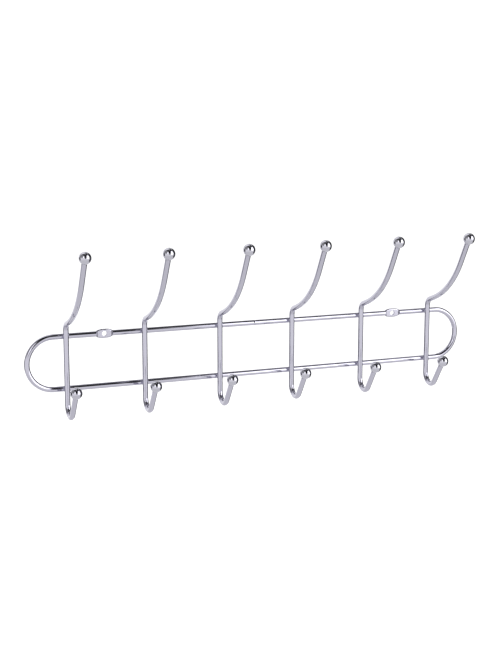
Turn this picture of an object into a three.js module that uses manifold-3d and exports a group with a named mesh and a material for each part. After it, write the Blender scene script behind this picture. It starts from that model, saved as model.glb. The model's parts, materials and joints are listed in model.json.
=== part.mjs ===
// Wall hook rack of chromed steel wire, in millimetres, +Z up.
//
// A long stadium-shaped ring of round wire lies flat against the wall. Six double hooks of the
// same wire are welded across its two bars. Each hook rises from a small J below the ring, runs
// up across both bars, bends forward at an elbow and curves up to a long arm. A steel ball is
// pressed on each wire end. Two flattened, drilled eyes in the ring's top bar take the screws.
//
// The origin is on the wall, midway between the two screw eyes. +X runs along the bars, +Y goes
// into the wall, and +Z is up, so everything is at y < 0.

import * as THREE from "three";
import { mergeVertices } from "three/addons/utils/BufferGeometryUtils.js";
import Module from "manifold-3d";

// Wire and clearances.
const WIRE_RADIUS = 3.5;
const WIRE_SECTOR_POINTS = 6; // a round section gets twice as many sides
const WELD_GAP = 0.3; // clearance left where two welded or pressed pieces meet
const LONG_STEP = 60; // longest stretch of straight wire between two sections

// Ring.
const BAR_SPACING = 66; // between the centre lines of the two bars
const RING_LENGTH = 602.5; // over the outside of both round ends
const RING_BEND_STEPS = 14;

// Screw eyes, coined flat in the top bar.
const EYE_SPACING = 400;
const EYE_LENGTH = 18.6;
const EYE_HEIGHT = 11.8;
const EYE_END_HEIGHT = 8.8;
const EYE_THICKNESS = 3.2;
const EYE_TAPER = 1.2; // shoulder between the flat and the round wire
const SCREW_HOLE_RADIUS = 3.1;

// Hooks.
const HOOK_COUNT = 6;
const HOOK_PITCH = 100;
const STEM_TOP = 41; // end of the straight stem, above the middle of the ring
const STEM_BOTTOM = -51; // start of the J bend, measured the same way
const ELBOW_RADIUS = 11;
const ARM_RISE = THREE.MathUtils.degToRad(19.4); // above level, just past the elbow
const ARM_END_RISE = THREE.MathUtils.degToRad(60.4); // above level, at the tip
const ARM_FIRST_STRAIGHT = 9.5;
const ARM_BEND_RADIUS = 126.4;
const ARM_LAST_STRAIGHT = 37.1; // to the middle of the ball
const J_RADIUS = 13.5;
const J_LEAN = THREE.MathUtils.degToRad(34.2); // of the J's free leg, forward of upright
const J_LEG = 37.9; // to the middle of the ball

// Balls.
const BALL_RADIUS = 7.5;
const BALL_SEGMENTS = 16;
const BALL_RINGS = 8;

const BAR_Y = -WIRE_RADIUS;
const TOP_BAR_Z = 0;
const RING_MIDDLE_Z = TOP_BAR_Z - BAR_SPACING / 2;
const STEM_Y = BAR_Y - 2 * WIRE_RADIUS - WELD_GAP;
const RING_BEND_X = RING_LENGTH / 2 - BAR_SPACING / 2 - WIRE_RADIUS;

const wasm = await Module();
wasm.setup();

// Stations along a wire that lies in one plane: each has a point and the wire's direction there.
class WireLine extends THREE.Curve {
  constructor(point, direction) {
    super();
    this.points = [point.clone()];
    this.tangents = [direction.clone().normalize()];
  }

  get end() {
    return this.points.at(-1);
  }

  get heading() {
    return this.tangents.at(-1);
  }

  get steps() {
    return this.points.length - 1;
  }

  straight(length) {
    const pieces = Math.ceil(length / LONG_STEP);
    for (let piece = 0; piece < pieces; piece += 1) {
      this.points.push(this.end.clone().addScaledVector(this.heading, length / pieces));
      this.tangents.push(this.heading.clone());
    }
    return this;
  }

  // A bend of the given radius that turns the heading about an axis square to the wire.
  bend(radius, axis, angle, steps) {
    const toCentre = new THREE.Vector3().crossVectors(axis, this.heading).multiplyScalar(radius);
    const centre = this.end.clone().add(toCentre);
    const start = toCentre.clone().negate();
    const heading = this.heading.clone();
    for (let step = 1; step <= steps; step += 1) {
      const turned = (angle * step) / steps;
      this.points.push(start.clone().applyAxisAngle(axis, turned).add(centre));
      this.tangents.push(heading.clone().applyAxisAngle(axis, turned));
    }
    return this;
  }

  getPointAt(u, target = new THREE.Vector3()) {
    return target.copy(this.points[Math.round(u * this.steps)]);
  }

  getTangentAt(u, target = new THREE.Vector3()) {
    return target.copy(this.tangents[Math.round(u * this.steps)]);
  }
}

// Round wire along a line of stations, closed at both ends.
function wireGeometry(line) {
  const section = new THREE.Shape();
  section.absarc(0, 0, WIRE_RADIUS, 0, 2 * Math.PI);
  return new THREE.ExtrudeGeometry(section, {
    curveSegments: WIRE_SECTOR_POINTS,
    steps: line.steps,
    extrudePath: line,
  });
}

// A closed mesh as a solid that can be joined to others.
function toSolid(geometry) {
  const bare = geometry.index ? geometry.toNonIndexed() : geometry.clone();
  bare.deleteAttribute("normal");
  bare.deleteAttribute("uv");
  const merged = mergeVertices(bare, 1e-4);
  const vertProperties = new Float32Array(merged.attributes.position.array);
  const triVerts = new Uint32Array(merged.index.array);
  return new wasm.Manifold(new wasm.Mesh({ numProp: 3, vertProperties, triVerts }));
}

function toGeometry(solid) {
  const mesh = solid.getMesh();
  const geometry = new THREE.BufferGeometry();
  geometry.setAttribute("position", new THREE.BufferAttribute(mesh.vertProperties, 3));
  geometry.setIndex(new THREE.BufferAttribute(mesh.triVerts, 1));
  geometry.computeVertexNormals();
  return geometry;
}

// The long way round the ring, from the right eye past both ends to the left eye.
function outerRingLine() {
  const toCorner = RING_BEND_X - EYE_SPACING / 2 - EYE_LENGTH / 2 - EYE_TAPER;
  const start = new THREE.Vector3(RING_BEND_X - toCorner, BAR_Y, TOP_BAR_Z);
  const turnAxis = new THREE.Vector3(0, 1, 0);
  return new WireLine(start, new THREE.Vector3(1, 0, 0))
    .straight(toCorner)
    .bend(BAR_SPACING / 2, turnAxis, Math.PI, RING_BEND_STEPS)
    .straight(2 * RING_BEND_X)
    .bend(BAR_SPACING / 2, turnAxis, Math.PI, RING_BEND_STEPS)
    .straight(toCorner);
}

// The top bar between the two eyes.
function middleBarLine() {
  const length = EYE_SPACING - EYE_LENGTH - 2 * EYE_TAPER;
  const start = new THREE.Vector3(-length / 2, BAR_Y, TOP_BAR_Z);
  return new WireLine(start, new THREE.Vector3(1, 0, 0)).straight(length);
}

// The flat of one eye: a barrel outline with a screw hole, standing in the plane of the ring.
function eyeFlatGeometry(x) {
  const halfLength = EYE_LENGTH / 2;
  const bulge = (EYE_HEIGHT - EYE_END_HEIGHT) / 2;
  const edgeRadius = (halfLength ** 2 + bulge ** 2) / (2 * bulge);
  const edgeCentre = EYE_HEIGHT / 2 - edgeRadius;
  const halfAngle = Math.asin(halfLength / edgeRadius);
  const outline = new THREE.Shape();
  outline.absarc(0, edgeCentre, edgeRadius, Math.PI / 2 - halfAngle, Math.PI / 2 + halfAngle);
  outline.absarc(0, -edgeCentre, edgeRadius, -Math.PI / 2 - halfAngle, -Math.PI / 2 + halfAngle);
  const hole = new THREE.Path();
  hole.absarc(0, 0, SCREW_HOLE_RADIUS, 0, 2 * Math.PI, true);
  outline.holes.push(hole);
  const flat = new THREE.ExtrudeGeometry(outline, {
    depth: EYE_THICKNESS,
    bevelEnabled: false,
    curveSegments: 8,
  });
  flat.translate(0, 0, -EYE_THICKNESS / 2);
  flat.rotateX(Math.PI / 2);
  return flat.translate(x, BAR_Y, TOP_BAR_Z);
}

// The shoulder between the flat and the round wire, on the side given by +1 or -1.
function eyeTaperGeometry(x, side) {
  const insideWire = 0.8 * WIRE_RADIUS;
  const bite = 1; // into the flat on one side and into the wire on the other
  const reach = EYE_LENGTH / 2 + EYE_TAPER;
  const profile = [
    new THREE.Vector2(0, EYE_LENGTH / 2 - bite),
    new THREE.Vector2(EYE_THICKNESS / 2, EYE_LENGTH / 2 - bite),
    new THREE.Vector2(WIRE_RADIUS - WELD_GAP, reach),
    new THREE.Vector2(insideWire, reach + bite),
    new THREE.Vector2(0, reach + bite),
  ];
  const taper = new THREE.LatheGeometry(profile, 2 * WIRE_SECTOR_POINTS);
  taper.rotateZ((-side * Math.PI) / 2);
  return taper.translate(x, BAR_Y, TOP_BAR_Z);
}

function ringGeometry() {
  let ring = toSolid(wireGeometry(outerRingLine()));
  ring = ring.add(toSolid(wireGeometry(middleBarLine())));
  for (const x of [-EYE_SPACING / 2, EYE_SPACING / 2]) {
    ring = ring.add(toSolid(eyeTaperGeometry(x, -1)));
    ring = ring.add(toSolid(eyeTaperGeometry(x, 1)));
    ring = ring.add(toSolid(eyeFlatGeometry(x)));
  }
  return toGeometry(ring);
}

// The hook's centre line from the lower ball to the upper one. Both ends stop at the middle of
// their ball, less the gap to the bottom of its socket.
function hookLine() {
  const side = new THREE.Vector3(1, 0, 0);
  const downLeg = new THREE.Vector3(0, Math.sin(J_LEAN), -Math.cos(J_LEAN));
  const stemBottom = new THREE.Vector3(0, STEM_Y, RING_MIDDLE_Z + STEM_BOTTOM);
  const bendCentre = stemBottom.clone().add(new THREE.Vector3(0, -J_RADIUS, 0));
  const legFoot = new THREE.Vector3(0, -Math.cos(J_LEAN), -Math.sin(J_LEAN));
  const start = bendCentre
    .addScaledVector(legFoot, J_RADIUS)
    .addScaledVector(downLeg, -(J_LEG - WELD_GAP));
  return new WireLine(start, downLeg)
    .straight(J_LEG - WELD_GAP)
    .bend(J_RADIUS, side, Math.PI - J_LEAN, 10)
    .straight(STEM_TOP - STEM_BOTTOM)
    .bend(ELBOW_RADIUS, side, Math.PI / 2 - ARM_RISE, 6)
    .straight(ARM_FIRST_STRAIGHT)
    .bend(ARM_BEND_RADIUS, side.clone().negate(), ARM_END_RISE - ARM_RISE, 8)
    .straight(ARM_LAST_STRAIGHT - WELD_GAP);
}

// A ball about its own centre, with a blind socket that opens towards -Y.
function ballGeometry() {
  const socketRadius = WIRE_RADIUS + WELD_GAP;
  const mouth = Math.asin(socketRadius / BALL_RADIUS);
  const profile = [new THREE.Vector2(0, 0), new THREE.Vector2(socketRadius, 0)];
  for (let ring = 0; ring <= BALL_RINGS; ring += 1) {
    const angle = mouth + ((Math.PI - mouth) * ring) / BALL_RINGS;
    const outwards = ring < BALL_RINGS ? BALL_RADIUS * Math.sin(angle) : 0;
    profile.push(new THREE.Vector2(outwards, -BALL_RADIUS * Math.cos(angle)));
  }
  return new THREE.LatheGeometry(profile, BALL_SEGMENTS);
}

function chrome() {
  return new THREE.MeshStandardMaterial({ color: 0xc9c8d2, metalness: 1, roughness: 0.06 });
}

function ballChrome() {
  return new THREE.MeshStandardMaterial({ color: 0xcfced8, metalness: 1, roughness: 0.04 });
}

function namedMesh(name, geometry, material) {
  const mesh = new THREE.Mesh(geometry, material);
  mesh.name = name;
  return mesh;
}

// A ball on the end of a wire that leaves its socket backwards along the given direction.
function ball(name, centre, direction) {
  const mesh = namedMesh(name, ballGeometry(), ballChrome());
  mesh.position.copy(centre);
  mesh.quaternion.setFromUnitVectors(new THREE.Vector3(0, 1, 0), direction);
  return mesh;
}

function hook(number) {
  const line = hookLine();
  const lowerDirection = line.tangents[0].clone().negate();
  const lowerCentre = line.points[0].clone().addScaledVector(lowerDirection, WELD_GAP);
  const upperCentre = line.end.clone().addScaledVector(line.heading, WELD_GAP);
  const group = new THREE.Group();
  group.add(namedMesh(`hook_wire_${number}`, wireGeometry(line), chrome()));
  group.add(ball(`lower_ball_${number}`, lowerCentre, lowerDirection));
  group.add(ball(`upper_ball_${number}`, upperCentre, line.heading));
  group.position.x = (number - (HOOK_COUNT + 1) / 2) * HOOK_PITCH;
  return group;
}

const rack = new THREE.Group();
rack.add(namedMesh("ring_wire", ringGeometry(), chrome()));
for (let number = 1; number <= HOOK_COUNT; number += 1) {
  rack.add(hook(number));
}

export default rack;
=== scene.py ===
import json
import math

import bmesh
import bpy
import numpy as np
from bpy.props import FloatProperty, FloatVectorProperty, PointerProperty
from bpy.types import Operator, Panel, PropertyGroup
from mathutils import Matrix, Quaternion, Vector


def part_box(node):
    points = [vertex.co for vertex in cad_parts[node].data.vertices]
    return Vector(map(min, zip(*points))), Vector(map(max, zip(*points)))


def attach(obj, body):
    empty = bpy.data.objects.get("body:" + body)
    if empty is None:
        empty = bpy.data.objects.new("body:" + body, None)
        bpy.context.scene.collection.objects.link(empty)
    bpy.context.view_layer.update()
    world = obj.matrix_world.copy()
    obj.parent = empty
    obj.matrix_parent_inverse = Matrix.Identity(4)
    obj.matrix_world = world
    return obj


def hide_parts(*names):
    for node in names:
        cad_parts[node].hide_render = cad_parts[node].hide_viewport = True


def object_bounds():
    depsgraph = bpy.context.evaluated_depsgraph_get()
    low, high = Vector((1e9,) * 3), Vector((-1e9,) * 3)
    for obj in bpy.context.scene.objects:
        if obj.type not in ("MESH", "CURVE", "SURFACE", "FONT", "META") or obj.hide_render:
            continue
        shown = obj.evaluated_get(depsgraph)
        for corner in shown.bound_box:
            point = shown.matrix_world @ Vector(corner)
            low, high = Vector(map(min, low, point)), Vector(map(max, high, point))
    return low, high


# Chromed wall hook rack: the fine surfaces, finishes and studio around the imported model.
# Metres, +X along the bars, +Y into the wall, +Z up, origin on the wall between the screw eyes.

bl_info = {
    "name": "Wire Wall Hook Rack",
    "version": (1, 0, 0),
    "blender": (4, 5, 0),
    "location": "3D View > Sidebar > Hook Rack",
    "description": "Builds a chromed wire hook rack, its finishes and a plain studio",
    "category": "Add Mesh",
}

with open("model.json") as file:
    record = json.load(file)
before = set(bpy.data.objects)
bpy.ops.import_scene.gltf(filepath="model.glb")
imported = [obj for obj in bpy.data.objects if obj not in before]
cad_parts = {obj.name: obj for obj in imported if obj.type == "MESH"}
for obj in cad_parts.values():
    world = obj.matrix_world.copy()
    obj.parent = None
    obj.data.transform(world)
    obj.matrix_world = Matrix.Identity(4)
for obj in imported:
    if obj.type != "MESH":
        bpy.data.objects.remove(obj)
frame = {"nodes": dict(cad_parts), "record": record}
CAD_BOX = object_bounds()
RECORD = frame["record"]
MOUNTS = {mount["name"]: Vector(mount["pos_m"]) for mount in RECORD["mounts"]}
OPENINGS = {opening["name"]: opening["box_m"] for opening in RECORD["physics"]["openings"]}

RING_LOW, RING_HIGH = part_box("ring_wire")
WIRE_RADIUS = (RING_HIGH.y - RING_LOW.y) / 2
BAR_Y = (RING_HIGH.y + RING_LOW.y) / 2
TOP_BAR_Z = MOUNTS["left_eye_front"].z
LOW_BAR_Z = RING_LOW.z + WIRE_RADIUS
RING_MIDDLE_Z = (TOP_BAR_Z + LOW_BAR_Z) / 2
BEND_RADIUS = (TOP_BAR_Z - LOW_BAR_Z) / 2
BEND_X = RING_HIGH.x - WIRE_RADIUS - BEND_RADIUS
EYE_X = [sum(corner[0] for corner in OPENINGS[f"{side}_screw_hole"]) / 2 for side in ("left", "right")]
EYE_HALF_HEIGHT = RING_HIGH.z - TOP_BAR_Z
EYE_HALF_THICKNESS = (MOUNTS["left_eye_back"].y - MOUNTS["left_eye_front"].y) / 2
HOOKS = sorted(int(name.rsplit("_", 1)[1]) for name in frame["nodes"] if name.startswith("hook_wire_"))
HOOK_X = {hook: sum(corner.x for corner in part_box(f"hook_wire_{hook}")) / 2 for hook in HOOKS}
STEM_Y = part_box("hook_wire_1")[1].y - WIRE_RADIUS
BALL_RADIUS = (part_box("upper_ball_1")[1].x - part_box("upper_ball_1")[0].x) / 2

RING_COLUMNS = 48
WIRE_COLUMNS = 40
BALL_COLUMNS = 56
MM = 0.001

HOLE_PATCH = 4.2 * MM  # half the length of the eye's face that is remade round its hole
SEAM_HALF_WIDTH = 0.7 * MM
SEAM_HEIGHT = 0.16 * MM
WELD_HAZE = 3.4 * MM
# Half width of the dark line of painted shade where each screw eye's flat ends.
CREASE_SHADE_HALF_WIDTH = 0.55 * MM


def length_prop(name, description, default):
    return FloatProperty(
        name=name, description=description, default=default, subtype="DISTANCE", unit="LENGTH"
    )


def angle_prop(name, description, degrees):
    return FloatProperty(
        name=name, description=description, default=math.radians(degrees), subtype="ANGLE", unit="ROTATION"
    )


def colour_prop(name, description, default):
    return FloatVectorProperty(
        name=name, description=description, default=default, subtype="COLOR", size=3, min=0, max=1
    )


def factor_prop(name, description, default):
    return FloatProperty(
        name=name, description=description, default=default, subtype="FACTOR", min=0, max=1
    )


class HookRackSizes(PropertyGroup):
    """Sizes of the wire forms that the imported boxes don't give."""

    stem_top: length_prop("Stem top", "End of the straight stem above the middle of the ring", 41 * MM)
    stem_bottom: length_prop("Stem bottom", "Start of the J bend, from the middle of the ring", -51 * MM)
    elbow_radius: length_prop("Elbow radius", "Bend at the top of the stem", 11 * MM)
    arm_rise: angle_prop("Arm rise", "Slope of the arm just past the elbow", 19.4)
    arm_tip_rise: angle_prop("Arm tip rise", "Slope of the arm at its ball", 60.4)
    arm_start: length_prop("Arm start", "Straight wire between the elbow and the arm's curve", 9.5 * MM)
    arm_bend_radius: length_prop("Arm bend radius", "Radius of the arm's long curve", 126.4 * MM)
    arm_tip: length_prop("Arm tip", "Straight wire from the arm's curve to the ball", 37.1 * MM)
    j_radius: length_prop("J radius", "Bend of the small lower hook", 13.5 * MM)
    j_lean: angle_prop("J lean", "Lean of the lower hook's free leg, forward of upright", 34.2)
    j_leg: length_prop("J leg", "Free leg of the lower hook, to the ball", 37.9 * MM)
    eye_length: length_prop("Eye length", "Flat length of a screw eye", 18.6 * MM)
    eye_end_height: length_prop("Eye end height", "Height of a screw eye where its flat ends", 8.8 * MM)
    eye_taper: length_prop("Eye shoulder", "Shoulder between the flat and the round wire", 1.2 * MM)
    hole_radius: length_prop("Hole radius", "Radius of a screw hole", 3.1 * MM)
    neck_fillet: length_prop("Neck fillet", "Fillet where a ball meets its wire", 0.6 * MM)
    weld_radius: length_prop("Weld radius", "Half width of the metal squeezed out at a cross weld", 2.7 * MM)


class HookRackFinish(PropertyGroup):
    """Colours and shine of the chrome, and the colour of the shade painted at the screw eyes' creases."""

    chrome: colour_prop("Chrome", "Tint of the plated wire", (0.525, 0.515, 0.60))
    ball_chrome: colour_prop("Ball chrome", "Tint of the plated balls", (0.54, 0.535, 0.60))
    # Painted shade: the colour of a dark line painted where each screw eye's flat meets its shoulder,
    # standing in for the shade and dark reflection in that crease.
    crease: colour_prop("Crease", "Dark line where a screw eye's flat ends", (0.10, 0.095, 0.12))
    roughness: factor_prop("Roughness", "Blur of the wire's reflections", 0.03)
    ball_roughness: factor_prop("Ball roughness", "Blur of the balls' reflections", 0.02)
    pressed_roughness: factor_prop("Pressed roughness", "Extra blur on the pressed screw eyes", 0.22)
    weld_roughness: factor_prop("Weld roughness", "Extra blur around a weld", 0.07)


class HookRackStudio(PropertyGroup):
    """Camera, floor and lights."""

    azimuth: angle_prop("Azimuth", "Camera angle to the side, negative to the left", -21.49)
    elevation: angle_prop("Elevation", "Camera angle above level", 10.83)
    distance: length_prop("Distance", "Camera distance from its target", 1.690)
    roll: angle_prop("Roll", "Camera turn about its line of sight", 0.07)
    aim_side: length_prop("Aim side", "Camera target along the bars, from the middle", -5.7 * MM)
    aim_height: length_prop("Aim height", "Camera target above the middle of the ring", 30.1 * MM)
    lens: FloatProperty(
        name="Lens", description="Focal length in millimetres", default=72.35, min=10, max=300
    )
    floor_drop: length_prop("Floor drop", "Floor below the lowest point of the rack", 0.35)
    floor_colour: colour_prop("Floor colour", "Plain pale floor", (0.93, 0.93, 0.93))


# Surfaces.


def walk(start, heading, moves):
    """A wire's centre line in one plane as arrays of points and heading angles. Each move is a
    straight (length, 0) or a bend (radius, signed angle); a bend's points are its centre less the
    radius along the left-hand normal turned with the heading."""
    points = [np.array([start], float)]
    angles = [np.array([heading], float)]
    place = np.array(start, float)
    for size, turn in moves:
        if turn:
            steps = max(6, math.ceil(abs(turn) / math.radians(2.5)))
            side = math.copysign(size, turn)
            angle = heading + turn * np.arange(1, steps + 1) / steps
            centre = place + side * np.array([-math.sin(heading), math.cos(heading)])
            path = centre - side * np.stack([-np.sin(angle), np.cos(angle)], 1)
        else:
            steps = max(2, math.ceil(size / (12 * MM)))
            angle = np.full(steps, heading)
            path = place + size * np.outer(
                np.arange(1, steps + 1) / steps, [math.cos(heading), math.sin(heading)]
            )
        points.append(path)
        angles.append(angle)
        place, heading = path[-1], angle[-1]
    return np.concatenate(points), np.concatenate(angles)


def grid_faces(index, wrap_rows=False):
    """Four-cornered faces between neighbouring rows and columns of an index grid whose columns
    close on themselves, with each corner's row and column for the texture map."""
    rows, columns = index.shape
    row, column = np.indices((rows if wrap_rows else rows - 1, columns))
    corners_row = np.stack([row, row, row + 1, row + 1], -1)
    corners_column = np.stack([column, column + 1, column + 1, column], -1)
    faces = index[corners_row % rows, corners_column % columns]
    return faces, corners_row, corners_column


def fan_faces(ring, pole):
    """Triangles from a closed ring of vertices to one pole vertex."""
    return np.stack([ring, np.roll(ring, -1), np.full_like(ring, pole)], 1)


def end_caps(index):
    """Triangles that close a grid's first and last rows on two poles, stored after its points."""
    return np.concatenate([fan_faces(index[0], index.size), fan_faces(index[-1], index.size + 1)])


def make_piece(name, points, quads, triangles, quad_map, marks=None):
    """A mesh object from arrays of points and faces, with a texture map in metres along the wire
    and around it, optional marks from 0 to 1 on its vertices, and faces turned outwards."""
    mesh = bpy.data.meshes.new(name)
    faces = quads.tolist() + triangles.tolist()
    mesh.from_pydata(points.tolist(), [], faces)
    for mark, values in (marks or {}).items():
        layer = mesh.attributes.new(mark, "FLOAT", "POINT")
        layer.data.foreach_set("value", values.astype(np.float32))
    layer = mesh.uv_layers.new(name="along_wire")
    spread = np.zeros((len(mesh.loops), 2), np.float32)
    spread[: quads.size] = quad_map.reshape(-1, 2)
    spread[quads.size:] = points[triangles.reshape(-1)][:, [0, 2]]
    layer.data.foreach_set("uv", spread.reshape(-1))
    shell = bmesh.new()
    shell.from_mesh(mesh)
    bmesh.ops.recalc_face_normals(shell, faces=shell.faces)
    shell.to_mesh(mesh)
    shell.free()
    mesh.shade_smooth()
    mesh.update()
    piece = bpy.data.objects.new(name, mesh)
    bpy.context.scene.collection.objects.link(piece)
    return piece


def distance_along(points):
    """Running length of a line of points."""
    return np.concatenate([[0], np.cumsum(np.linalg.norm(np.diff(points, axis=0), axis=1))])


def weld_closeness(points):
    """From 0 to 1: how close each point is to one of the twelve crossings, a bell curve of the
    distance to the crossing's middle."""
    closeness = np.zeros(len(points))
    for x in HOOK_X.values():
        for z in (TOP_BAR_Z, LOW_BAR_Z):
            crossing = np.array([x, (STEM_Y + BAR_Y) / 2, z])
            away = np.linalg.norm(points - crossing, axis=1)
            closeness = np.maximum(closeness, np.exp(-((away / WELD_HAZE) ** 2)))
    return closeness


def crease_closeness(points, sizes):
    """From 0 to 1: how strongly shade is painted on each point of the top bar, in the crease where a screw
    eye's flat meets its shoulder: a bell curve of the distance along the bar to the flat's end."""
    along = np.min([np.abs(points[:, 0] - eye) for eye in EYE_X], axis=0)
    crease = np.exp(-(((along - sizes.eye_length / 2) / CREASE_SHADE_HALF_WIDTH) ** 2))
    crease[points[:, 2] < RING_MIDDLE_Z] = 0
    return crease


def wire_marks(points, **given):
    """The wire finish's marks for every vertex, 0 where they aren't given. The crease mark tells where shade
    is painted.
    """
    return {mark: given.get(mark, np.zeros(len(points))) for mark in ("pressed", "weld", "crease")}


def top_bar_stations(sizes):
    """Places along the top bar from its middle to the end, close together at the butt weld,
    across the eye and at its shoulders. A station stands just off each end of a shoulder, which
    keeps the smooth shading of the wire and the flat out of it."""
    eye = max(EYE_X)
    flat = sizes.eye_length / 2
    reach = flat + sizes.eye_taper
    step_off = 0.1 * MM
    half_eye = np.concatenate([
        np.linspace(HOLE_PATCH, flat - step_off, 11),
        np.linspace(flat, reach, 11),
        [reach + step_off, reach + 3 * step_off],
    ])
    across_hole = np.linspace(-HOLE_PATCH, HOLE_PATCH, 17)[1:-1]
    eye_part = np.concatenate([-half_eye[::-1], across_hole, half_eye])
    seam_end = 3 * MM
    seam = np.linspace(0, seam_end, 16)[:-1]
    inner = np.linspace(seam_end, eye + eye_part[0], 18)[:-1]
    outer = np.linspace(eye + eye_part[-1], BEND_X, 8)[1:]
    return np.concatenate([seam, inner, eye + eye_part, outer])


def ring_section(x, on_top, sizes):
    """The ring's cross-section at each station: a circle, blended to a flat with round edges
    across the screw eyes, and swollen a little at the butt weld except towards the wall. Columns
    run from the outer side over the front. Returns the outward and forward offsets from the
    centre line, and how flat each station is."""
    column = np.arange(RING_COLUMNS)
    turn = 2 * np.pi * column / RING_COLUMNS
    flat_ends = [0, 4, 20, 28, 44, 48]
    side = np.interp(column, flat_ends, [1, 1, -1, -1, 1, 1])
    edge_turn = np.interp(column, flat_ends, np.radians([0, 90, 90, 270, 270, 360]))
    away = np.min([np.abs(x - eye) for eye in EYE_X], axis=0)
    flat = sizes.eye_length / 2
    share = np.clip((flat + sizes.eye_taper - away) / sizes.eye_taper, 0, 1) * on_top
    share = share[:, None]
    drop = EYE_HALF_HEIGHT - sizes.eye_end_height / 2
    half_height = (EYE_HALF_HEIGHT - drop * np.minimum(away / flat, 1) ** 3)[:, None]
    half_flat = half_height - EYE_HALF_THICKNESS
    seam = on_top * np.exp(-((x / SEAM_HALF_WIDTH) ** 2)) * SEAM_HEIGHT
    radius = WIRE_RADIUS + seam[:, None] * np.clip(0.5 + np.sin(turn), 0, 1)
    outward = (1 - share) * radius * np.cos(turn) + share * (
        side * half_flat + EYE_HALF_THICKNESS * np.cos(edge_turn)
    )
    forward = (1 - share) * radius * np.sin(turn) + share * EYE_HALF_THICKNESS * np.sin(edge_turn)
    return outward, forward, share


def ring_centre_line(sizes):
    """The stadium: the top bar's left half, the left bend, the lower bar, the right bend and the
    top bar's right half, as points in the XZ plane and outward directions."""
    half = top_bar_stations(sizes)
    bend = np.linspace(0, np.pi, 121)[1:-1]
    low = np.linspace(-BEND_X, BEND_X, 46)
    reach = BEND_X + BEND_RADIUS * np.sin(bend)
    fall = BEND_RADIUS * np.cos(bend)
    x = np.concatenate([-half, -reach, low, reach, half[:0:-1]])
    z = np.concatenate([
        np.full(len(half), TOP_BAR_Z),
        RING_MIDDLE_Z + fall,
        np.full(len(low), LOW_BAR_Z),
        RING_MIDDLE_Z - fall,
        np.full(len(half) - 1, TOP_BAR_Z),
    ])
    centre_x = np.clip(x, -BEND_X, BEND_X)
    outward = np.stack([x - centre_x, z - RING_MIDDLE_Z], 1) / BEND_RADIUS
    on_top = np.isclose(z, TOP_BAR_Z) & (np.abs(x) <= BEND_X)
    return x, z, outward, on_top


def screw_hole(points, index, eye, sizes):
    """The drilled hole of one eye. Two rectangles of the ring's grid, on the front and the back of
    the flat, are left open; from each rectangle's border the face closes in straight lines on the
    hole's circle, turns over a small round edge and runs through to the other side. Returns new
    points, faces, and which cells the rectangles take."""
    rows = np.flatnonzero(np.abs(points[index[:, 0], 0] - eye) < HOLE_PATCH + 0.1 * MM)
    rows = rows[points[index[rows, 0], 2] > RING_MIDDLE_Z]
    first, last = rows.min(), rows.max()
    top, bottom = 5, 19
    along = np.arange(first, last)
    down = np.arange(top, bottom)
    row = np.concatenate([
        along, np.full(len(down), last), along[::-1] + 1, np.full(len(down), first)
    ])
    column = np.concatenate([
        np.full(len(along), top), down, np.full(len(along), bottom), down[::-1] + 1
    ])
    front = index[row, column]
    back = index[row, RING_COLUMNS - column]
    border = points[front][:, [0, 2]] - [eye, TOP_BAR_Z]
    turn = np.arctan2(border[:, 1], border[:, 0])
    circle = np.stack([np.cos(turn), np.sin(turn)], 1)
    rounding = 0.35 * MM
    closing = np.array([0.3, 0.6, 0.85])[:, None, None]
    face = (1 - closing) * border + closing * (sizes.hole_radius + rounding) * circle
    over = np.radians([0, 22.5, 45, 67.5, 90])[:, None, None]
    lip = (sizes.hole_radius + rounding * (1 - np.sin(over))) * circle
    lip_depth = EYE_HALF_THICKNESS - rounding * (1 - np.cos(over[:, 0, 0]))
    across = np.concatenate([face, lip, lip[::-1], face[::-1]])
    face_depth = np.full(len(face), EYE_HALF_THICKNESS)
    depth = np.concatenate([face_depth, lip_depth, -lip_depth[::-1], -face_depth])
    new = np.empty((*across.shape[:2], 3))
    new[..., 0] = eye + across[..., 0]
    new[..., 1] = BAR_Y - depth[:, None]
    new[..., 2] = TOP_BAR_Z + across[..., 1]
    tunnel = np.arange(new[..., 0].size).reshape(new.shape[:2]) + len(points)
    faces = grid_faces(np.concatenate([front[None], tunnel, back[None]]))[0].reshape(-1, 4)
    open_front = (slice(first, last), slice(top, bottom))
    open_back = (slice(first, last), slice(RING_COLUMNS - bottom, RING_COLUMNS - top))
    return new.reshape(-1, 3), faces, (open_front, open_back)


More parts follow.
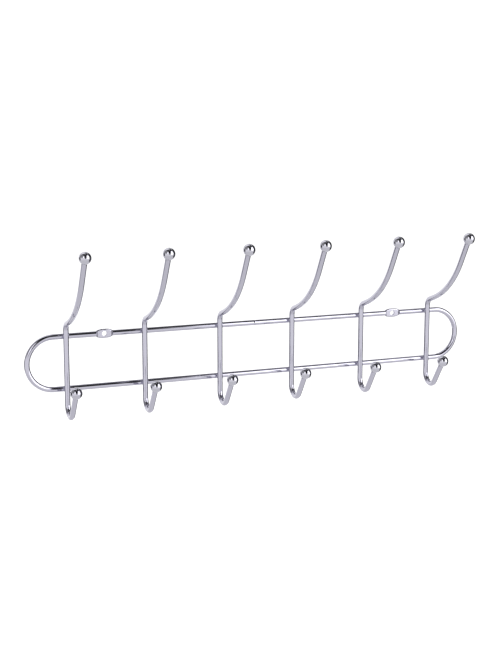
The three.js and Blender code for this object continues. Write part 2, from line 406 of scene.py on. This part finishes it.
def build_ring(sizes):
    """The ring: the blended section carried round the stadium, with both screw holes let in."""
    x, z, outward, on_top = ring_centre_line(sizes)
    out, forward, share = ring_section(x, on_top, sizes)
    points = np.empty((len(x), RING_COLUMNS, 3))
    points[..., 0] = x[:, None] + out * outward[:, :1]
    points[..., 1] = BAR_Y - forward
    points[..., 2] = z[:, None] + out * outward[:, 1:]
    points = points.reshape(-1, 3)
    index = np.arange(len(points)).reshape(-1, RING_COLUMNS)
    faces, corner_row, corner_column = grid_faces(index, wrap_rows=True)
    line = distance_along(np.stack([x, z], 1))
    line = np.append(line, line[-1] + abs(x[0] - x[-1]))
    column_width = 2 * np.pi * WIRE_RADIUS / RING_COLUMNS
    spread = np.stack([line[corner_row], corner_column * column_width], -1)
    kept = np.ones(faces.shape[:2], bool)
    pressed = np.repeat(share[:, 0], RING_COLUMNS)
    parts = [points]
    hole_faces = []
    for eye in EYE_X:
        new, around, cells = screw_hole(np.concatenate(parts), index, eye, sizes)
        parts.append(new)
        hole_faces.append(around)
        for cell in cells:
            kept[cell] = False
    points = np.concatenate(parts)
    pressed = np.concatenate([pressed, np.ones(len(points) - len(pressed))])
    hole_faces = np.concatenate(hole_faces)
    quads = np.concatenate([faces[kept], hole_faces])
    quad_map = np.concatenate([spread[kept], points[hole_faces][..., [0, 2]]])
    used, packed = np.unique(quads, return_inverse=True)
    points = points[used]
    marks = wire_marks(
        points,
        pressed=pressed[used],
        weld=weld_closeness(points),
        # painted shade in the creases at the screw eyes' shoulders
        crease=crease_closeness(points, sizes),
    )
    no_triangles = np.zeros((0, 3), int)
    return make_piece("ring", points, packed.reshape(quads.shape), no_triangles, quad_map, marks)


def hook_line(sizes):
    """The hook's centre line in the YZ plane, walked from the lower ball's middle down the leg,
    round the J, up the stem and out along the arm to the upper ball's middle, then moved so that
    the J ends at the stem's foot."""
    moves = [
        (sizes.j_leg, 0),
        (sizes.j_radius, math.pi - sizes.j_lean),
        (sizes.stem_top - sizes.stem_bottom, 0),
        (sizes.elbow_radius, math.pi / 2 - sizes.arm_rise),
        (sizes.arm_start, 0),
        (sizes.arm_bend_radius, sizes.arm_rise - sizes.arm_tip_rise),
        (sizes.arm_tip, 0),
    ]
    points, angles = walk((0, 0), sizes.j_lean - math.pi / 2, moves)
    foot = np.flatnonzero(np.isclose(angles, math.pi / 2))[0]
    return points - points[foot] + [STEM_Y, RING_MIDDLE_Z + sizes.stem_bottom], angles


def build_hook(hook, sizes):
    """Round wire carried along the hook's line: each station's circle spans the line's in-plane
    normal and X. Both ends stop inside their balls and are closed flat."""
    line, angles = hook_line(sizes)
    turn = 2 * np.pi * np.arange(WIRE_COLUMNS) / WIRE_COLUMNS
    normal = np.stack([-np.sin(angles), np.cos(angles)], 1)
    points = np.empty((len(line), WIRE_COLUMNS, 3))
    points[..., 0] = HOOK_X[hook] + WIRE_RADIUS * np.sin(turn)
    points[..., 1:] = line[:, None] + WIRE_RADIUS * np.cos(turn)[:, None] * normal[:, None]
    index = np.arange(points[..., 0].size).reshape(points.shape[:2])
    ends = np.array([[HOOK_X[hook], *line[0]], [HOOK_X[hook], *line[-1]]])
    points = np.concatenate([points.reshape(-1, 3), ends])
    faces, corner_row, corner_column = grid_faces(index)
    along = distance_along(line)
    column_width = 2 * np.pi * WIRE_RADIUS / WIRE_COLUMNS
    spread = np.stack([along[corner_row], corner_column * column_width], -1).reshape(-1, 4, 2)
    marks = wire_marks(points, weld=weld_closeness(points))
    return make_piece(f"hook_{hook}", points, faces.reshape(-1, 4), end_caps(index), spread, marks)


def ball_profile(sizes):
    """Distance from the axis and along it: up the socket wall, over the fillet that leaves the
    wire, and round the sphere. The fillet's circle touches the wire's side and the sphere."""
    wire_clearance = 0.02 * MM
    socket = WIRE_RADIUS + wire_clearance
    fillet = sizes.neck_fillet
    out = socket + fillet
    back = -math.sqrt((BALL_RADIUS + fillet) ** 2 - out**2)
    touch = math.atan2(out, -back)
    turn = np.linspace(math.pi, math.pi / 2 + touch, 9)
    fillet_out = out + fillet * np.cos(turn)
    fillet_along = back + fillet * np.sin(turn)
    around = np.linspace(touch, math.pi, 45)[1:-1]
    sphere_out = BALL_RADIUS * np.sin(around)
    sphere_along = -BALL_RADIUS * np.cos(around)
    profile_out = np.concatenate([[socket], fillet_out, sphere_out])
    profile_along = np.concatenate([[0], fillet_along, sphere_along])
    return profile_out, profile_along


def build_ball(name, centre, outwards, sizes):
    """The profile turned about the wire's direction, closed by a pole at the socket's floor and
    another at the far end."""
    out, along = ball_profile(sizes)
    turn = 2 * np.pi * np.arange(BALL_COLUMNS) / BALL_COLUMNS
    side = np.array([1.0, 0, 0])
    up = np.cross(outwards, side)
    circle = np.cos(turn)[:, None] * side + np.sin(turn)[:, None] * up
    points = centre + along[:, None, None] * outwards + out[:, None, None] * circle
    index = np.arange(points[..., 0].size).reshape(points.shape[:2])
    poles = np.array([centre, centre + BALL_RADIUS * outwards])
    points = np.concatenate([points.reshape(-1, 3), poles])
    faces, corner_row, corner_column = grid_faces(index)
    spread = (np.stack([corner_row, corner_column], -1) * MM).reshape(-1, 4, 2)
    return make_piece(name, points, faces.reshape(-1, 4), end_caps(index), spread)


def build_welds(sizes):
    """Metal squeezed out at the twelve crossings. Each pad is a disc between the two wires whose
    front follows the stem's back, whose back follows the bar's front, and whose rim is hollow."""
    turn = 2 * np.pi * np.arange(WIRE_COLUMNS) / WIRE_COLUMNS
    bite = 0.08 * MM
    rim_hollow = 0.9 * MM
    reach = sizes.weld_radius
    disc = np.linspace(0.15, 1, 7) * reach
    share = np.linspace(0, 1, 9)[1:-1]
    rim = reach - rim_hollow * np.sin(np.pi * share)
    out = np.concatenate([disc, rim, disc[::-1]])
    front_share = np.concatenate([np.ones(len(disc)), 1 - share, np.zeros(len(disc))])
    x = out[:, None] * np.cos(turn)
    z = out[:, None] * np.sin(turn)
    edge_x = np.minimum(np.abs(x), WIRE_RADIUS)
    edge_z = np.minimum(np.abs(z), WIRE_RADIUS)
    front = STEM_Y + np.sqrt(WIRE_RADIUS**2 - edge_x**2) - bite
    back = BAR_Y - np.sqrt(WIRE_RADIUS**2 - edge_z**2) + bite
    y = front_share[:, None] * front + (1 - front_share[:, None]) * back
    pad = np.stack([x, y, z], -1)
    index = np.arange(x.size).reshape(x.shape)
    poles = np.array([[0, STEM_Y + WIRE_RADIUS - bite, 0], [0, BAR_Y - WIRE_RADIUS + bite, 0]])
    pad = np.concatenate([pad.reshape(-1, 3), poles])
    faces, corner_row, corner_column = grid_faces(index)
    faces = faces.reshape(-1, 4)
    spread = (np.stack([corner_row, corner_column], -1) * 0.3 * MM).reshape(-1, 4, 2)
    caps = end_caps(index)
    places = np.array([[x, 0, z] for x in HOOK_X.values() for z in (TOP_BAR_Z, LOW_BAR_Z)])
    shift = np.arange(len(places))[:, None, None] * len(pad)
    points = (pad[None] + places[:, None]).reshape(-1, 3)
    quads = (faces[None] + shift).reshape(-1, 4)
    triangles = (caps[None] + shift).reshape(-1, 3)
    quad_map = np.tile(spread, (len(places), 1, 1))
    marks = wire_marks(points, weld=np.ones(len(points)))
    return make_piece("cross_welds", points, quads, triangles, quad_map, marks)


# Finishes.


def node(tree, kind, place, settings=None, **inputs):
    """A shader node with its settings, and its unlinked inputs set by name."""
    made = tree.nodes.new(kind)
    made.location = place
    for name, value in (settings or {}).items():
        setattr(made, name, value)
    for name, value in inputs.items():
        made.inputs[name.replace("_", " ")].default_value = value
    return made


def math_node(tree, operation, place, *values):
    """A Math node. Each value is a number or the socket that feeds it. Returns its result."""
    made = node(tree, "ShaderNodeMath", place, {"operation": operation})
    for socket, value in zip(made.inputs, values):
        if isinstance(value, (int, float)):
            socket.default_value = value
        else:
            tree.links.new(value, socket)
    return made.outputs["Value"]


def new_material(name):
    """A material with only a metallic Principled shader. Returns its node tree and the shader."""
    material = bpy.data.materials.new(name)
    material.use_nodes = True
    tree = material.node_tree
    tree.nodes.clear()
    output = node(tree, "ShaderNodeOutputMaterial", (700, 0))
    shader = node(tree, "ShaderNodeBsdfPrincipled", (420, 0), Metallic=1.0)
    tree.links.new(shader.outputs["BSDF"], output.inputs["Surface"])
    return tree, shader


def map_range(tree, source, place, low, high, to_low, to_high, settings=None):
    """The source carried from the range low to high on to_low to to_high, and held there."""
    made = node(tree, "ShaderNodeMapRange", place, settings,
                From_Min=low, From_Max=high, To_Min=to_low, To_Max=to_high)
    tree.links.new(source, made.inputs["Value"])
    return made.outputs["Result"]


def mark(tree, name, place):
    """The value of a mark on the vertices."""
    return node(tree, "ShaderNodeAttribute", place, {"attribute_name": name}).outputs["Fac"]


def plating_ripple(tree, shader, coordinates, scale, height):
    """The slight orange peel of bright plating, as a very low bump."""
    ripple = node(tree, "ShaderNodeTexNoise", (-300, -420), Scale=scale, Detail=2.0, Roughness=0.45)
    bump = node(tree, "ShaderNodeBump", (180, -420), Strength=1.0, Distance=height)
    tree.links.new(coordinates, ripple.inputs["Vector"])
    tree.links.new(ripple.outputs["Fac"], bump.inputs["Height"])
    tree.links.new(bump.outputs["Normal"], shader.inputs["Normal"])


def tint(tree, coordinates, colour):
    """A faint cloudy change of the chrome's tint. Returns the colour."""
    cloud = node(tree, "ShaderNodeTexNoise", (-300, 260), Scale=18.0, Detail=3.0)
    darker = (*[part * 0.965 for part in colour], 1)
    lighter = (*[min(1, part * 1.03) for part in colour], 1)
    mix = node(tree, "ShaderNodeMix", (120, 260), {"data_type": "RGBA"}, A=darker, B=lighter)
    tree.links.new(coordinates, cloud.inputs["Vector"])
    tree.links.new(cloud.outputs["Fac"], mix.inputs["Factor"])
    return mix.outputs["Result"]


def wire_chrome(finish):
    """Bright plated wire: faint draw lines along it, a duller skin on the pressed eyes, a painted shade line
    in the crease at their ends, standing in for the shade and dark reflection there, and a haze around the
    welds."""
    tree, shader = new_material("bright_wire_chrome")
    place = node(tree, "ShaderNodeTexCoord", (-900, 0)).outputs["Object"]
    lines_map = node(tree, "ShaderNodeUVMap", (-900, -200), {"uv_map": "along_wire"})
    stretch = node(tree, "ShaderNodeMapping", (-700, -200), Scale=(25, 2600, 1))
    lines = node(tree, "ShaderNodeTexNoise", (-500, -200), Scale=1.0, Detail=3.0, Roughness=0.6)
    tree.links.new(lines_map.outputs["UV"], stretch.inputs["Vector"])
    tree.links.new(stretch.outputs["Vector"], lines.inputs["Vector"])
    line_blur = map_range(tree, lines.outputs["Fac"], (-260, -160), 0.35, 0.75,
                          finish.roughness * 0.7, finish.roughness * 1.6)
    pressed = mark(tree, "pressed", (-500, 40))
    pressed_blur = map_range(tree, pressed, (-260, 40), 0, 1, 0, finish.pressed_roughness)
    weld = mark(tree, "weld", (-500, 120))
    weld_blur = map_range(tree, weld, (-260, 160), 0.15, 1, 0, finish.weld_roughness)
    blur = math_node(tree, "ADD", (-40, 0), line_blur, pressed_blur)
    blur = math_node(tree, "ADD", (140, 60), blur, weld_blur)
    tree.links.new(blur, shader.inputs["Roughness"])
    # Painted shade: a dark colour mixed into the chrome's tint along the crease mark, standing in for the
    # shade and dark reflection at the eyes' shoulders.
    crease = (*finish.crease, 1)
    shade_line = node(tree, "ShaderNodeMix", (320, 420), {"data_type": "RGBA"}, B=crease)
    tree.links.new(mark(tree, "crease", (-500, 420)), shade_line.inputs["Factor"])
    tree.links.new(tint(tree, place, finish.chrome), shade_line.inputs["A"])
    tree.links.new(shade_line.outputs["Result"], shader.inputs["Base Color"])
    plating_ripple(tree, shader, place, 260.0, 0.004 * MM)


def ball_chrome(finish):
    """Polished balls: cleaner than the wire, with only the plating's ripple."""
    tree, shader = new_material("polished_ball_chrome")
    place = node(tree, "ShaderNodeTexCoord", (-900, 0)).outputs["Object"]
    haze = node(tree, "ShaderNodeTexNoise", (-500, -60), Scale=140.0, Detail=2.0)
    tree.links.new(place, haze.inputs["Vector"])
    blur = map_range(tree, haze.outputs["Fac"], (-240, -60), 0.3, 0.7,
                     finish.ball_roughness * 0.7, finish.ball_roughness * 1.5)
    tree.links.new(blur, shader.inputs["Roughness"])
    tree.links.new(tint(tree, place, finish.ball_chrome), shader.inputs["Base Color"])
    plating_ripple(tree, shader, place, 220.0, 0.003 * MM)


# Studio.


BLACK = 0.02
TENT_WHITE = 1.11
PLAIN_WHITE = 1.15

# Grey, black and white cards of the light tent that the chrome mirrors, each laid over those
# before it: from and to across (0 into the wall, 90 to the right, 180 to the room), from and to
# up, the blur of the edges, all in degrees, and the light. The table runs on past straight down,
# which keeps its edge away from there.
CARDS = [
    ("table", -180, 180, -155, -25, 20, 0.9),
    ("ceiling", 5, 355, 25, 90, 15, 0.25),
    ("back_panel", -60, 15, 30, 80, 20, 1.25),
    ("back_top", -10, 40, 45, 85, 10, 1.0),
    ("right_strip", 25, 45, -55, 45, 10, 1.1),
    ("right_flag", 40, 110, -40, 45, 15, BLACK),
    ("left_flag", -80, -45, -25, 10, 10, BLACK),
    ("ceiling_slot", 30, 155, 50, 75, 10, BLACK),
    ("right_soft_box", 115, 160, -5, 45, 5, 2.8),
    ("left_soft_box", -155, -125, 10, 40, 10, 2.3),
    ("front_gap", 160, 210, 15, 65, 5, BLACK),
    ("gap_edge", 155, 165, 30, 55, 5, BLACK),
    ("front_flag", 175, 195, -5, 15, 5, BLACK),
    ("left_panel", -130, -50, 10, 60, 15, 0.35),
    ("left_slot", -175, -75, 55, 75, 10, BLACK),
    ("right_panel", 45, 100, 45, 65, 10, 0.45),
]


def window(tree, angle, start, end, blur, place):
    """1 where the angle lies from start to end, in degrees, falling smoothly to 0 over the blur."""
    centre, half, soft = np.radians([(start + end) / 2, (end - start) / 2, blur / 2]).tolist()
    x, y = place
    away = math_node(tree, "SUBTRACT", (x, y), angle, centre)
    away = math_node(tree, "WRAP", (x + 160, y), away, math.pi, -math.pi)
    away = math_node(tree, "ABSOLUTE", (x + 320, y), away)
    smooth = {"interpolation_type": "SMOOTHSTEP"}
    return map_range(tree, away, (x + 480, y), half - soft, half + soft, 1, 0, smooth)


def studio_world():
    """A light tent of white with the cards laid over it in order, seen only in reflections. The
    camera sees plain white, and the floor is lit by plain white."""
    world = bpy.data.worlds.new("light_tent")
    world.use_nodes = True
    tree = world.node_tree
    tree.nodes.clear()
    output = node(tree, "ShaderNodeOutputWorld", (2200, 0))
    direction = node(tree, "ShaderNodeTexCoord", (-900, 0)).outputs["Generated"]
    parts = node(tree, "ShaderNodeSeparateXYZ", (-700, 0))
    tree.links.new(direction, parts.inputs[0])
    across = math_node(tree, "ARCTAN2", (-500, 100), parts.outputs["X"], parts.outputs["Y"])
    up = math_node(tree, "ARCSINE", (-500, -100), parts.outputs["Z"])
    white = (TENT_WHITE, TENT_WHITE, TENT_WHITE, 1)
    colour = None
    for row, (name, left, right, bottom, top, blur, light) in enumerate(CARDS):
        y = -360 * row
        sideways = window(tree, across, left, right, blur, (-200, y))
        height = window(tree, up, bottom, top, blur, (-200, y - 170))
        card = (light, light, light, 1)
        settings = {"label": name, "data_type": "RGBA"}
        mix = node(tree, "ShaderNodeMix", (700 + 180 * row, y), settings, A=white, B=card)
        mask = math_node(tree, "MULTIPLY", (500, y), sideways, height)
        tree.links.new(mask, mix.inputs["Factor"])
        if colour is not None:
            tree.links.new(colour, mix.inputs["A"])
        colour = mix.outputs["Result"]
    mirrored = node(tree, "ShaderNodeBackground", (1800, 0), Strength=1.0)
    tree.links.new(colour, mirrored.inputs["Color"])
    plain = node(tree, "ShaderNodeBackground", (1800, -160), Color=(1, 1, 1, 1), Strength=PLAIN_WHITE)
    path = node(tree, "ShaderNodeLightPath", (1800, 260))
    choice = node(tree, "ShaderNodeMixShader", (2000, 0))
    tree.links.new(path.outputs["Is Glossy Ray"], choice.inputs["Fac"])
    tree.links.new(plain.outputs[0], choice.inputs[1])
    tree.links.new(mirrored.outputs[0], choice.inputs[2])
    tree.links.new(choice.outputs[0], output.inputs["Surface"])
    bpy.context.scene.world = world


def studio_floor(studio):
    """A wide flat floor, well below the rack, that the chrome doesn't mirror: the tent's table
    card stands for it there."""
    half = 60.0
    height = CAD_BOX[0].z - studio.floor_drop
    corners = [(x * half, y * half, height) for x, y in ((-1, -1), (1, -1), (1, 1), (-1, 1))]
    mesh = bpy.data.meshes.new("studio_floor")
    mesh.from_pydata(corners, [], [[0, 1, 2, 3]])
    floor = bpy.data.objects.new("studio_floor", mesh)
    bpy.context.scene.collection.objects.link(floor)
    material = bpy.data.materials.new("pale_floor")
    material.use_nodes = True
    shader = material.node_tree.nodes["Principled BSDF"]
    shader.inputs["Base Color"].default_value = (*studio.floor_colour, 1)
    shader.inputs["Roughness"].default_value = 0.9
    shader.inputs["Specular IOR Level"].default_value = 0.0
    mesh.materials.append(material)
    floor.visible_glossy = False


def soft_light(name, place, target, size, power):
    """A square soft light that the chrome doesn't mirror, aimed at a point."""
    light = bpy.data.lights.new(name, "AREA")
    light.size = size
    light.energy = power
    lamp = bpy.data.objects.new(name, light)
    bpy.context.scene.collection.objects.link(lamp)
    lamp.location = place
    lamp.rotation_euler = (Vector(target) - Vector(place)).to_track_quat("-Z", "Y").to_euler()
    lamp.visible_glossy = False
    lamp.visible_camera = False


def studio_camera(studio):
    """The camera looks at the middle of the rack from the left and a little above."""
    target = Vector((studio.aim_side, BAR_Y, RING_MIDDLE_Z + studio.aim_height))
    back = Vector((
        math.sin(studio.azimuth) * math.cos(studio.elevation),
        -math.cos(studio.azimuth) * math.cos(studio.elevation),
        math.sin(studio.elevation),
    ))
    data = bpy.data.cameras.new("product_camera")
    data.lens = studio.lens
    data.sensor_width = 36
    data.clip_end = 200
    camera = bpy.data.objects.new("product_camera", data)
    bpy.context.scene.collection.objects.link(camera)
    camera.location = target + back * studio.distance
    aim = (-back).to_track_quat("-Z", "Y") @ Quaternion((0, 0, 1), studio.roll)
    camera.rotation_euler = aim.to_euler()
    bpy.context.scene.camera = camera


# Operators.


def settle(piece, material, slot, *nodes):
    """Give a piece its finish and its body, and hide the nodes it stands for. The slot is not used."""
    piece.data.materials.append(bpy.data.materials[material])
    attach(piece, "root")
    if nodes:
        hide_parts(*nodes)


class HOOKRACK_OT_finishes(Operator):
    """Make the chrome finishes"""

    bl_idname = "hook_rack.finishes"
    bl_label = "Finishes"

    def execute(self, context):
        finish = context.scene.hook_rack_finish
        wire_chrome(finish)
        ball_chrome(finish)
        return {"FINISHED"}


class HOOKRACK_OT_ring(Operator):
    """Build the ring of wire with its two pressed screw eyes"""

    bl_idname = "hook_rack.ring"
    bl_label = "Ring"

    def execute(self, context):
        piece = build_ring(context.scene.hook_rack_sizes)
        settle(piece, "bright_wire_chrome", "ring_chrome", "ring_wire")
        return {"FINISHED"}


class HOOKRACK_OT_hooks(Operator):
    """Build the bent double hooks"""

    bl_idname = "hook_rack.hooks"
    bl_label = "Hooks"

    def execute(self, context):
        for hook in HOOKS:
            piece = build_hook(hook, context.scene.hook_rack_sizes)
            settle(piece, "bright_wire_chrome", "wire_chrome", f"hook_wire_{hook}")
        return {"FINISHED"}


class HOOKRACK_OT_balls(Operator):
    """Build the balls on the wire ends"""

    bl_idname = "hook_rack.balls"
    bl_label = "Balls"

    def execute(self, context):
        sizes = context.scene.hook_rack_sizes
        line, angles = hook_line(sizes)
        ends = {"lower": (line[0], angles[0] + math.pi), "upper": (line[-1], angles[-1])}
        for hook in HOOKS:
            for level, (place, angle) in ends.items():
                centre = np.array([HOOK_X[hook], *place])
                outwards = np.array([0, math.cos(angle), math.sin(angle)])
                piece = build_ball(f"{level}_end_ball_{hook}", centre, outwards, sizes)
                settle(piece, "polished_ball_chrome", "ball_chrome", f"{level}_ball_{hook}")
        return {"FINISHED"}


class HOOKRACK_OT_welds(Operator):
    """Build the weld metal between the hooks and the bars"""

    bl_idname = "hook_rack.welds"
    bl_label = "Welds"

    def execute(self, context):
        settle(build_welds(context.scene.hook_rack_sizes), "bright_wire_chrome", "wire_chrome")
        return {"FINISHED"}


class HOOKRACK_OT_stage(Operator):
    """Set up the floor, the light tent, the soft lights and the camera"""

    bl_idname = "hook_rack.stage"
    bl_label = "Stage"

    def execute(self, context):
        studio = context.scene.hook_rack_studio
        studio_world()
        studio_floor(studio)
        soft_light("top_light", place=(-1.0, -1.2, 2.6), target=(0, 0, -0.4), size=3.0, power=90.0)
        studio_camera(studio)
        context.scene.view_settings.view_transform = "Standard"
        return {"FINISHED"}


class HOOKRACK_PT_panel(Panel):
    """Sidebar panel with the rack's sizes, finishes and building steps"""

    bl_label = "Hook Rack"
    bl_idname = "HOOKRACK_PT_panel"
    bl_space_type = "VIEW_3D"
    bl_region_type = "UI"
    bl_category = "Hook Rack"

    def draw(self, context):
        for group in ("hook_rack_sizes", "hook_rack_finish", "hook_rack_studio"):
            box = self.layout.box()
            settings = getattr(context.scene, group)
            for name in settings.__annotations__:
                box.prop(settings, name)
        for step in STEPS:
            self.layout.operator(step.bl_idname)


GROUPS = {
    "hook_rack_sizes": HookRackSizes,
    "hook_rack_finish": HookRackFinish,
    "hook_rack_studio": HookRackStudio,
}
STEPS = (
    HOOKRACK_OT_finishes,
    HOOKRACK_OT_ring,
    HOOKRACK_OT_hooks,
    HOOKRACK_OT_balls,
    HOOKRACK_OT_welds,
    HOOKRACK_OT_stage,
)


def register():
    for name, group in GROUPS.items():
        bpy.utils.register_class(group)
        setattr(bpy.types.Scene, name, PointerProperty(type=group))
    for step in STEPS:
        bpy.utils.register_class(step)
    bpy.utils.register_class(HOOKRACK_PT_panel)


def unregister():
    bpy.utils.unregister_class(HOOKRACK_PT_panel)
    for step in reversed(STEPS):
        bpy.utils.unregister_class(step)
    for name, group in reversed(GROUPS.items()):
        delattr(bpy.types.Scene, name)
        bpy.utils.unregister_class(group)


def main():
    register()
    bpy.ops.hook_rack.finishes()
    bpy.ops.hook_rack.ring()
    bpy.ops.hook_rack.hooks()
    bpy.ops.hook_rack.balls()
    bpy.ops.hook_rack.welds()
    bpy.ops.hook_rack.stage()


if __name__ == "__main__":
    main()
